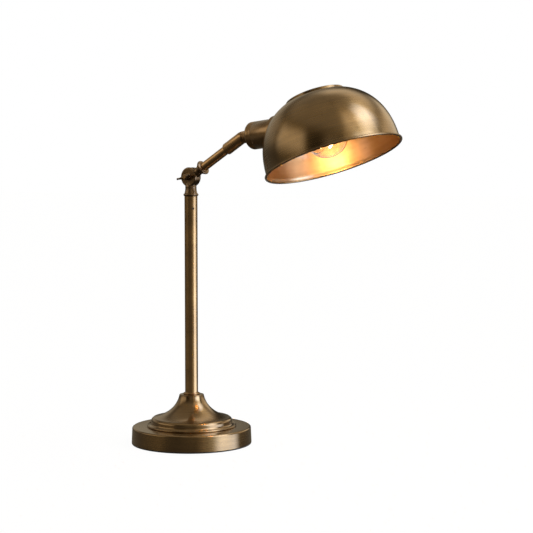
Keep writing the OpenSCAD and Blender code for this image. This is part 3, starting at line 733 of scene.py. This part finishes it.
def lower_knuckle():
    """The fork: two round cheeks on a waisted neck, melted together and then slotted."""
    on_pole = Matrix.Translation(HINGE - Vector((0, 0, HINGE_RISE)))
    rim = CHEEK_R - CHEEK_EDGE
    disc = ([(0, -CHEEK_HALF)] + arc(rim, -CHEEK_HALF + CHEEK_EDGE, CHEEK_EDGE, -90, 0)
            + arc(rim, CHEEK_HALF - CHEEK_EDGE, CHEEK_EDGE, 0, 90) + [(0, CHEEK_HALF)])
    spigot_r, spigot_len, wire_way = POLE_R - 1.4 * MM, 26 * MM, 3 * MM
    bead, bead_r, bead_z = 1.9 * MM, POLE_R - 0.4 * MM, 2.3 * MM
    waist = ((-0.1, 4.5), (-0.25, 5.4), (-0.6, 6.6), (-0.95, 8.2), (-1.15, 10), (-1.25, 12),
             (-1.25, 14), (-1.5, 16), (-2.2, 18), (-3.6, 19.6))  # mm past the pole's radius and end
    neck = [(0, -spigot_len), (spigot_r, -spigot_len), (spigot_r, 0), (POLE_R - 0.2 * MM, 0)]
    neck += arc(bead_r, bead_z, bead, -75, 75, 14)
    neck += [((r + POLE_R / MM) * MM, h * MM) for r, h in waist] + [(0, waist[-1][1] * MM)]
    piece = cast(turned("fork_knuckle", disc, ACROSS_FORK, around=96),
                 turned("neck", neck, on_pole, around=96))

    # The room that the blade sweeps between its lowest and its highest tilt
    low, high = math.radians(SWEEP_LOW), math.radians(SWEEP_HIGH)
    side, reach = BLADE_HALF + BLADE_ROOM, CHEEK_R + 5 * MM
    near = Vector((side * math.sin(low), -side * math.cos(low)))
    far = near + reach * Vector((math.cos(low), math.sin(low)))
    corners = [tuple(near), tuple(far)]
    corners += arc(0, 0, 1.2 * reach, SWEEP_LOW, SWEEP_HIGH)[1:-1]
    corners += [(-side * math.sin(high), reach), (-side * math.sin(high), 0)]
    pocket = rod(POCKET_R, -SLOT_HALF, SLOT_HALF, ACROSS_FORK)
    blade = slab("blade", corners, SLOT_HALF, Matrix.Translation(HINGE))
    carve(piece, pocket, blade, rod(BOLT_R + SEAT, -BOLT_REACH, BOLT_REACH, ACROSS_FORK),
          rod(wire_way, start=-30 * MM, end=20 * MM, place=on_pole))
    smooth(piece, sharp=45)
    install(piece, "base", BROWN_CAST, "dark_brass", "lower_knuckle")


def upper_knuckle():
    """The tongue with its turned stem, which the fork's slot lets through."""
    edge, blade_len, spigot_len, wire_way = 0.5 * MM, 18 * MM, 12 * MM, 2.5 * MM
    cheek_gap = 0.7 * MM
    disc = ([(0, -TONGUE_HALF)] + arc(TONGUE_R - edge, -TONGUE_HALF + edge, edge, -90, 0)
            + arc(TONGUE_R - edge, TONGUE_HALF - edge, edge, 0, 90) + [(0, TONGUE_HALF)])
    blade = slab("blade", [(0, -BLADE_HALF), (blade_len, -BLADE_HALF), (blade_len, BLADE_HALF),
                           (0, BLADE_HALF)], TONGUE_HALF, AT_HINGE)
    waist = ((0, 12), (7.2, 12), (7.15, 13.2), (6.9, 15), (6.5, 16.6), (6.35, 18), (6.5, 19.4), (7.1, 20.8),
             (7.9, 22), (8.5, 22.7), (8.7, 23.3), (8.4, 24))  # radius and distance from the hinge, in mm
    bead, bead_r, bead_s = 1.7 * MM, 9.2 * MM, 26.6 * MM
    stem = [(r * MM, x * MM) for r, x in waist] + arc(bead_r, bead_s, bead, -88, 88, 18)
    stem += [(8.3 * MM, 28.6 * MM), (7.7 * MM, STEM_END), (ARM_R - ARM_WALL, STEM_END),
             (ARM_R - ARM_WALL, STEM_END + spigot_len), (0, STEM_END + spigot_len)]
    cheeks = rod(CHEEK_R + cheek_gap, start=-15 * MM, end=15 * MM, place=ACROSS_TONGUE, around=128)
    neck = carve(turned("stem", stem, ARM_LINE, around=96), cheeks)
    piece = turned("tongue_knuckle", disc, ACROSS_TONGUE, around=96)
    cast(piece, blade, neck, grain=0.3 * MM, rounds=4)
    carve(piece, rod(BOLT_R + RUNNING, -BOLT_REACH, BOLT_REACH, ACROSS_TONGUE),
          rod(wire_way, start=13 * MM, end=50 * MM, place=ARM_LINE))
    smooth(piece, sharp=45)
    install(piece, "arm", BROWN_CAST, "dark_brass", "upper_knuckle")


def wing_nut():
    """A cast nut: a domed hub with two tapering wings that end in small balls."""
    place = Matrix.Translation(HINGE - Vector((0, NUT_FACE, 0))) @ turn_y(-WING_TURN)
    outwards = place @ Matrix.Rotation(math.pi / 2, 4, "X")
    hub = ((0, 0), (4.9, 0), (5.1, 0.5), (4.9, 2), (4.4, 4.5), (4.1, 6), (3.5, 6.8), (2.9, 7),
           (0, 7))  # radius and height, in mm
    wing = ((1.5, 3.4, 3.1), (4.2, 4.4, 2.7), (6.6, 5.7, 2.1), (9.0, 7.4, 1.5), (10.6, 8.7, 1.3),
            (11.3, 9.3, 1.6))  # aside, outwards and radius, in mm
    wings = []
    for side in (-1, 1):
        bm = bmesh.new()
        chain = [(side * x * MM, -y * MM, r * MM) for x, y, r in wing]
        for x, y, radius in chain:
            bmesh.ops.create_uvsphere(bm, u_segments=24, v_segments=16, radius=radius,
                                      matrix=Matrix.Translation((x, y, 0)))
        for (x0, y0, r0), (x1, y1, r1) in zip(chain, chain[1:]):
            step = Vector((x1 - x0, y1 - y0, 0))
            turn = step.to_track_quat("Z", "Y").to_matrix().to_4x4()
            middle = Matrix.Translation(Vector(((x0 + x1) / 2, (y0 + y1) / 2, 0)))
            bmesh.ops.create_cone(bm, cap_ends=True, segments=24, radius1=r0, radius2=r1,
                                  depth=step.length, matrix=middle @ turn)
        wings.append(as_piece("wing", bm, place))
    piece = turned("wing_nut_cast", [(r * MM, h * MM) for r, h in hub], outwards, around=64)
    cast(join(piece, *wings), grain=0.22 * MM, rounds=6)
    carve(piece, rod(BOLT_R + RUNNING, start=-1 * MM, end=BOLT_REACH, place=outwards))
    smooth(piece, sharp=45)
    install(piece, "nut", BROWN_CAST, "dark_brass", "wing_nut")


def elbow():
    """The sleeve on the arm with its tight bend, and its stepped bore."""
    straight, turn_steps = ARM_LEN - RING_S, 12
    tube_stop, nipple_stop = SLEEVE_START + SLEEVE_DEPTH, -4.7 * MM
    outside = [(SLEEVE_START, ELBOW_R - 0.5 * MM), (SLEEVE_START + 0.15 * MM, ELBOW_R - 0.2 * MM),
               (SLEEVE_START + 0.6 * MM, ELBOW_R), (straight, ELBOW_R)]
    inside = [(ARM_LEN - 8 * MM, NIPPLE_BORE), (tube_stop, NIPPLE_BORE), (tube_stop, ARM_R + SEAT),
              (SLEEVE_START, ARM_R + SEAT)]
    stations = [(lying(AT_HINGE, x), radius) for x, radius in outside]
    pivot = AT_HINGE @ Matrix.Translation((straight, 0, -ELBOW_TURN_R))
    for k in range(1, turn_steps + 1):
        turn = turn_y(ELBOW_TURN * k / turn_steps)
        stations.append((lying(pivot @ turn @ Matrix.Translation((0, 0, ELBOW_TURN_R))), ELBOW_R))
    stations += [(lying(AT_BEND, x), NIPPLE_R + SEAT) for x in (RING_S, nipple_stop)]
    stations += [(lying(AT_HINGE, x), radius) for x, radius in inside]
    piece = swept("elbow_sleeve", stations, around=96, sharp=30)
    install(piece, "arm", BROWN_ARM, "dark_brass", "elbow")


def swivel_ring():
    """The beaded ring that stands still at the elbow's mouth."""
    bore, bead, bead_r, bead_s = NIPPLE_R + SEAT, 0.8 * MM, ELBOW_R - 0.7 * MM, 1.1 * MM
    outline = ([(bore, 0), (ELBOW_R - 1.4 * MM, 0), (ELBOW_R - 1.3 * MM, 0.4 * MM)]
               + arc(bead_r, bead_s, bead, -85, 85, 14) + [(ELBOW_R - 1.2 * MM, RING_W), (bore, RING_W)])
    piece = turned("swivel_bead", closed(outline), lying(AT_BEND, RING_S), around=96)
    install(piece, "arm", BROWN_CUP, "dark_brass", "swivel_ring")


def cup_neck():
    """The beaded ring that turns with the cup, and its bearing in the cup's back."""
    bore, bead, bead_r, bead_s = NIPPLE_R + RUNNING, 1.5 * MM, ELBOW_R - 1.2 * MM, 1.9 * MM
    sleeve, bearing, back = 7.6 * MM, 6.2 * MM, CUP_BACK - NECK_S
    outline = ([(bore, 0), (ELBOW_R - 1.4 * MM, 0)] + arc(bead_r, bead_s, bead, -88, 60, 16)
               + [(sleeve + 0.15 * MM, 3.7 * MM), (sleeve, 4.3 * MM), (sleeve, back), (bearing, back),
                  (bearing, back + CUP_WALL), (bore, back + CUP_WALL)])
    piece = turned("neck_collar", closed(outline), lying(AT_BEND, NECK_S), around=96)
    install(piece, "head", BROWN_CUP, "dark_brass", "cup_neck")


def dome_tool():
    """The shade's filled form, to cut what meets its outside."""
    below_rim = -1 * MM
    return turned("dome_tool", [(0, below_rim)] + shade_outline(-SEAT), AT_SHADE, around=200)


def cup():
    """The lampholder's cup: a round shoulder, three fine grooves and a mouth cut to the shade."""
    hole, shoulder, back_r = 6.22 * MM, 7.1 * MM, 8 * MM
    grooves = (22.6, 25.2, 27.8)
    groove = ((-0.5, 0), (-0.38, 0.1), (-0.12, 0.32), (0.12, 0.32), (0.38, 0.1), (0.5, 0))  # mm along, deep

    def wall(inset):
        bend = [math.pi / 2 * i / 24 for i in range(25)]
        points = [(hole, CUP_BACK + inset)]
        points += [(back_r + (CUP_R - back_r - inset) * math.sin(t),
                    CUP_BACK + shoulder - (shoulder - inset) * math.cos(t)) for t in bend]
        if inset == 0:
            points += [(CUP_R - deep * MM, (s + along) * MM) for s in grooves for along, deep in groove]
        return points + [(CUP_R - inset, CUP_END)]

    piece = turned("lamp_cup", closed(wall(0) + wall(CUP_WALL)[::-1]), CUP_LINE, around=200)
    smooth(carve(piece, dome_tool()))
    install(piece, "head", BROWN_CUP, "dark_brass", "socket_cup")


def saddle():
    """The boss between the cup and the shade, cut to the shade's curve."""
    start, past_shade = 59.5 * MM, 100 * MM
    bore, out, edge = CUP_R + SEAT, 23 * MM, 0.9 * MM
    outline = ([(bore, start), (out - edge, start)] + arc(out - edge, start + edge, edge, -90, 0)
               + [(out, past_shade), (bore, past_shade)])
    piece = turned("saddle_boss", closed(outline), CUP_LINE, around=200)
    smooth(carve(piece, dome_tool()))
    install(piece, "head", BROWN_CUP, "dark_brass", "saddle_collar")


def dome():
    """The spun shade with its rolled rim and the lampholder's hole, its inside paler than its outside as
    painted light.
    """
    rim_r, rim_z, rim_top = SHADE_R + BEAD_R - 0.32 * MM, 0.6 * MM, 1.2 * MM
    rim = arc(rim_r, rim_z, BEAD_R, 150, -200, 28)
    skin = shade_outline(0)[2:][::-1] + rim + shade_outline(SHADE_T)[1:]
    hole_r, hole_top = SLEEVE_R + 0.4 * MM, 60 * MM
    piece = turned("dome_shade", skin, AT_SHADE, around=256, sharp=50)
    piece.data.materials.append(BRASS)
    piece.data.materials.append(INNER_LIT_BRASS)
    # Faces inside the shade above the rim take the paler brass, painted light from the bulb.
    for face in piece.data.polygons:
        outward = face.center - Vector((0, 0, SHADE_H / 3))
        face.material_index = int(face.normal.dot(outward) < 0 and face.center.z > rim_top)
    smooth(carve(piece, rod(hole_r, 0, hole_top, AT_HOLDER, around=96)), sharp=50)
    install(on_lamp_axes(piece), "head", None, "aged_brass", "shade")


def crown_cap():
    """The shallow cap that lies on the shade's crown."""
    def top(radius):
        return CAP_EDGE + (CAP_TOP - CAP_EDGE) * (1 - (radius / CAP_R) ** 2)

    def shade_at(radius):
        return SHADE_H * (1 - (radius / SHADE_R) ** SHADE_BULGE) ** (1 / SHADE_BULGE)

    thick, hole, edge = 1 * MM, 2.1 * MM, 0.8 * MM
    spans = [CAP_R * k / 24 for k in range(22, 1, -1)]
    outline = [(CAP_R - thick, shade_at(CAP_R - thick)), (CAP_R, shade_at(CAP_R) + SEAT)]
    outline += arc(CAP_R - edge, CAP_EDGE - edge, edge, 0, 80, 8)
    outline += [(r, top(r)) for r in spans] + [(hole, top(hole))]
    outline += [(hole, top(hole) - thick)] + [(r, top(r) - thick) for r in spans[::-1]]
    outline += [(CAP_R - thick, CAP_EDGE - 1.4 * MM)]
    piece = on_lamp_axes(turned("crown_cover", closed(outline), AT_SHADE, around=200))
    install(piece, "head", BRASS, "aged_brass", "crown_cap")


def crown_screw():
    """A slotted screw with a domed head."""
    shank_r, shank_end = 2 * MM, SHADE_H - 9 * MM
    head_r, head_edge, head_dome = 4.6 * MM, 0.3 * MM, 1.5 * MM
    slot_half, slot_floor, slot_top, reach = 0.5 * MM, CAP_TOP + 0.9 * MM, CAP_TOP + 3 * MM, 6 * MM
    turns = [math.pi / 2 * k / 10 for k in range(10)]
    screw = [(0, shank_end), (shank_r, shank_end), (shank_r, CAP_TOP), (head_r, CAP_TOP)]
    screw += [(head_r * math.cos(t), CAP_TOP + head_edge + head_dome * math.sin(t)) for t in turns]
    screw += [(0, CAP_TOP + head_edge + head_dome)]
    piece = turned("domed_screw", screw, AT_SHADE, around=72)
    slot = [(-reach, slot_floor), (reach, slot_floor), (reach, slot_top), (-reach, slot_top)]
    smooth(carve(piece, slab("slot", slot, slot_half, AT_SHADE)))
    install(piece, "head", BRIGHT, "dark_brass", "crown_screw")


def bulb_glass():
    """The bulb's blown glass, open at its cap."""
    blown = closed(bulb_outline(0) + bulb_outline(GLASS_T)[::-1])
    piece = turned("bulb_glass_blown", blown, AT_BULB, around=160, sharp=60)
    install(piece, "head", GLASS, "clear_glass", "bulb_glass")


def bulb_cap():
    """The screw cap, its thread one rolled helix that fades in and out."""
    low, high, pitch, half_depth = 5 * MM, 23 * MM, 3.6 * MM, 0.55 * MM
    crest, around, per_turn = 13.2 * MM, 96, 16
    lip_r, inner_r, lip, top = 13.1 * MM, 11.5 * MM, 24 * MM, BULB_CAP_H - SEAT
    below = ((10.6 * MM, 4.5 * MM), (11.3 * MM, 4.6 * MM))
    above = ((lip_r, lip), (lip_r, top), (inner_r, top), (inner_r, 6 * MM))
    bm = bmesh.new()

    def rings(outline):
        return [[bm.verts.new(point) for point in circle(radius, around, height)]
                for radius, height in outline]

    def tip(height):
        return [bm.verts.new((0, 0, height))]

    rows = [tip(below[0][1])] + rings(below)
    for k in range(int((high - low) / pitch * per_turn) + 1):
        height = low + pitch * k / per_turn
        fade = min(1, (height - low) / pitch, (high - height) / pitch)
        row = []
        for i in range(around):
            turn = 2 * math.pi * i / around
            phase = height / pitch * 2 * math.pi - turn
            radius = crest - half_depth * (2 - fade - fade * math.cos(phase))
            row.append(bm.verts.new((radius * math.cos(turn), radius * math.sin(turn), height)))
        rows.append(row)
    bridge(bm, rows + rings(above) + [tip(above[-1][1])])
    piece = as_piece("threaded_cap", bm, AT_BULB, sharp=50)
    install(piece, "head", NICKEL, "nickel_cap", "bulb_cap")


def bulb_stem():
    """The glass mount inside the bulb: a flared foot, a pinched tube and a bead."""
    base, bead, bead_rise = BULB_CAP_H + 1 * MM, 2.6 * MM, 26 * MM
    mount = ((0, 0), (8.9, 0), (9, 0.4), (8.2, 1.6), (6.6, 3.4), (5.2, 5.4), (4.2, 7.4), (3.6, 9.4),
             (3.3, 11), (2.8, 15), (2.1, 20), (1.8, 23), (1.9, 24))  # radius and height, in mm
    points = [(r * MM, base + h * MM) for r, h in mount]
    points += arc(0, base + bead_rise, bead, -40, 88, 12) + [(0, base + bead_rise + bead)]
    piece = turned("glass_mount", points, AT_BULB, around=72, sharp=60)
    install(piece, "head", GLASS, "clear_glass", "bulb_stem")


def filament():
    """A coil laid round most of a circle, its turns held by four wires from the glass mount."""
    ring_r, coil_r, wire_r, support_r = 19 * MM, 1.3 * MM, 0.3 * MM, 0.25 * MM
    start, span, turns, per_turn = 30, 300, 48, 12  # the first two in degrees round the bulb
    points = []
    for k in range(turns * per_turn + 1):
        along = math.radians(start + span * k / (turns * per_turn))
        swing = 2 * math.pi * k / per_turn
        radius = ring_r + coil_r * math.cos(swing)
        points.append(AT_BULB @ Vector((radius * math.cos(along), radius * math.sin(along),
                                        BULB_HEAD + coil_r * math.sin(swing))))
    install(wire("coiled_filament", points, wire_r, around=6), "head", GLOW, "tungsten", "filament")

    mount = BULB_CAP_H / MM
    legs = ((2.4, mount + 22), (3.2, mount + 26), (9, 66), (16.4, 76.6), (18.2, 78), (19.6, 78.6),
            (19.9, 79.6), (19, 80.5), (17.6, 80.4))  # radius and height, in mm
    supports = []
    for degrees in (30, 150, 210, 330):
        t = math.radians(degrees)
        path = [AT_BULB @ Vector((r * MM * math.cos(t), r * MM * math.sin(t), h * MM)) for r, h in legs]
        supports.append(wire("support", path, support_r))
    piece = join(supports[0], *supports[1:])
    piece.name = "support_wires"
    install(piece, "head", ZINC, "zinc_steel", "bulb_wires")


felt_pad()
foot()
pole_collar()
lower_knuckle()
upper_knuckle()
wing_nut()
elbow()
swivel_ring()
cup_neck()
cup()
saddle()
dome()
crown_cap()
crown_screw()
bulb_glass()
bulb_cap()
bulb_stem()
filament()

# ---------------------------------------------------------------- light, floor and camera


def from_camera_side(azimuth, distance, height):
    """A place round the lamp, its azimuth counted to the camera's right, in degrees."""
    turn = math.radians(CAMERA_HEADING - 90 + azimuth)
    return (distance * math.cos(turn), distance * math.sin(turn), height)


def camera():
    """The photograph's view of the lamp."""
    data = bpy.data.cameras.new("camera")
    data.sensor_width = SENSOR
    data.lens = SENSOR * FOCAL_PIXELS / FRAME_PIXELS
    data.clip_end = 50
    view = bpy.data.objects.new("camera", data)
    bpy.context.scene.collection.objects.link(view)
    around = math.radians(CAMERA_AZIMUTH)
    view.location = (CAMERA_DISTANCE * math.sin(around), -CAMERA_DISTANCE * math.cos(around), CAMERA_HEIGHT)
    view.rotation_euler = (math.radians(90 - CAMERA_PITCH), 0, math.radians(CAMERA_HEADING))
    bpy.context.scene.camera = view


def floor():
    """A pale floor that the camera sees almost white and that the metal doesn't mirror."""
    half, white_share, whiteness = 20, 0.94, 1.03
    mesh = bpy.data.meshes.new("floor")
    corners = [(-half, -half, 0), (half, -half, 0), (half, half, 0), (-half, half, 0)]
    mesh.from_pydata(corners, [], [(0, 1, 2, 3)])
    plane = bpy.data.objects.new("floor", mesh)
    bpy.context.scene.collection.objects.link(plane)
    material, w, surface = shader("pale floor", Roughness=0.9)
    surface.inputs["Base Color"].default_value = rgba((0.9, 0.9, 0.9))
    rays = w.add("ShaderNodeLightPath").outputs
    white = w.add("ShaderNodeEmission", {"Color": (1, 1, 1, 1), "Strength": whiteness})
    seen = w.math("MULTIPLY", rays["Is Camera Ray"], white_share)
    lit = w.add("ShaderNodeMixShader", {0: seen, 1: surface.outputs[0], 2: white.outputs[0]})
    clear = w.add("ShaderNodeBsdfTransparent")
    blend = w.add("ShaderNodeMixShader", {0: rays["Is Glossy Ray"], 1: lit.outputs[0], 2: clear.outputs[0]})
    w.feed(w.tree.nodes["Material Output"].inputs["Surface"], blend.outputs[0])
    plane.data.materials.append(material)


# What the metal mirrors. Each panel: its middle to the camera's right and above the level, half its
# width and height and the softness of its edges, all in degrees, its brightness, and 1 where it is warm.
PANELS = [
    (75, -12, 24, 10, 10, 2.8, 0),
    (58, 18, 19, 12, 8, 3.7, 0),
    (85, 50, 20, 12, 10, 2.7, 0),
    (128, 18, 29, 12, 8, 0.9, 1),
    (147, 50, 43, 12, 10, 0.65, 1),
    (45, 50, 20, 12, 10, 0.9, 1),
    (27, 18, 10, 12, 8, 0.65, 1),
    (-2, 18, 14, 12, 8, 0.22, 1),
    (-80, 18, 29, 12, 8, 0.8, 1),
    (-148, 18, 33, 12, 8, 0.32, 1),
    (35, -12, 14, 10, 10, 0.25, 1),
    (0, -12, 200, 10, 10, 0.09, 1),
    (0, 64, 200, 26, 10, 0.25, 1),
]
ROOM_DIM = 0.035
ROOM_WARMTH = (1.0, 0.86, 0.62)
WINDOW_TINT = (0.92, 1.04, 1.24)


def studio():
    """White backdrop for the eye and the glass, and a room of soft panels for the metal to mirror."""
    world = bpy.data.worlds.new("studio")
    bpy.context.scene.world = world
    world.use_nodes = True
    w = Wiring(world.node_tree)
    direction = w.add("ShaderNodeTexCoord").outputs["Generated"]
    front = math.radians(CAMERA_HEADING - 90)
    right = math.radians(CAMERA_HEADING)

    def along(x, y, z):
        node = w.add("ShaderNodeVectorMath", {0: direction, 1: (x, y, z)}, operation="DOT_PRODUCT")
        return node.outputs["Value"]

    azimuth = w.math("ARCTAN2", along(math.cos(right), math.sin(right), 0),
                     along(math.cos(front), math.sin(front), 0))
    elevation = w.math("ARCSINE", along(0, 0, 1))

    def within(distance, half, soft):
        node = w.add("ShaderNodeMapRange", {"Value": distance, "From Min": math.radians(half + soft),
                                            "From Max": math.radians(half - soft)},
                     interpolation_type="SMOOTHSTEP")
        return node.outputs[0]

    levels = [w.math("ADD", start, 0.0) for start in (0.0, ROOM_DIM)]
    for degrees_right, degrees_up, half_wide, half_high, soft, bright, warm in PANELS:
        aside = w.math("WRAP", w.math("SUBTRACT", azimuth, math.radians(degrees_right)), math.pi, -math.pi)
        over = w.math("SUBTRACT", elevation, math.radians(degrees_up))
        panel = w.math("MULTIPLY", within(w.math("ABSOLUTE", aside), half_wide, soft),
                       within(w.math("ABSOLUTE", over), half_high, soft))
        levels[warm] = w.math("MULTIPLY_ADD", panel, bright, levels[warm])
    window = w.add("ShaderNodeVectorMath", {0: levels[0], 1: WINDOW_TINT}, operation="MULTIPLY").outputs[0]
    room = w.add("ShaderNodeVectorMath", {0: levels[1], 1: ROOM_WARMTH, 2: window},
                 operation="MULTIPLY_ADD").outputs[0]
    rays = w.add("ShaderNodeLightPath").outputs
    seen = w.math("MAXIMUM", rays["Is Camera Ray"], rays["Is Transmission Ray"])
    w.feed(w.tree.nodes["Background"].inputs["Color"], w.mix(seen, room, (1, 1, 1, 1)))


def lights():
    """A tall soft lamp beside the camera and the small warm light of the bulb."""
    scene_objects = bpy.context.scene.collection.objects
    middle = Vector((0.1, 0, 0.3))
    data = bpy.data.lights.new("key", "AREA")
    data.shape = "RECTANGLE"
    data.size = 0.7
    data.size_y = 1.8
    data.energy = 2.9
    key = bpy.data.objects.new("key", data)
    scene_objects.link(key)
    key.location = from_camera_side(azimuth=68, distance=1.4, height=0.75)
    key.rotation_euler = (middle - key.location).to_track_quat("-Z", "Y").to_euler()

    data = bpy.data.lights.new("lit_bulb", "POINT")
    data.energy = 0.42
    data.color = (1.0, 0.52, 0.19)
    data.shadow_soft_size = 12 * MM
    lit = bpy.data.objects.new("lit_bulb", data)
    scene_objects.link(lit)
    lit.location = AT_BULB @ Vector((0, 0, BULB_HEAD))
    bpy.context.view_layer.update()
    lit.parent = frame["bodies"]["head"]


camera()
floor()
studio()
lights()
bpy.context.scene.view_settings.view_transform = "Standard"
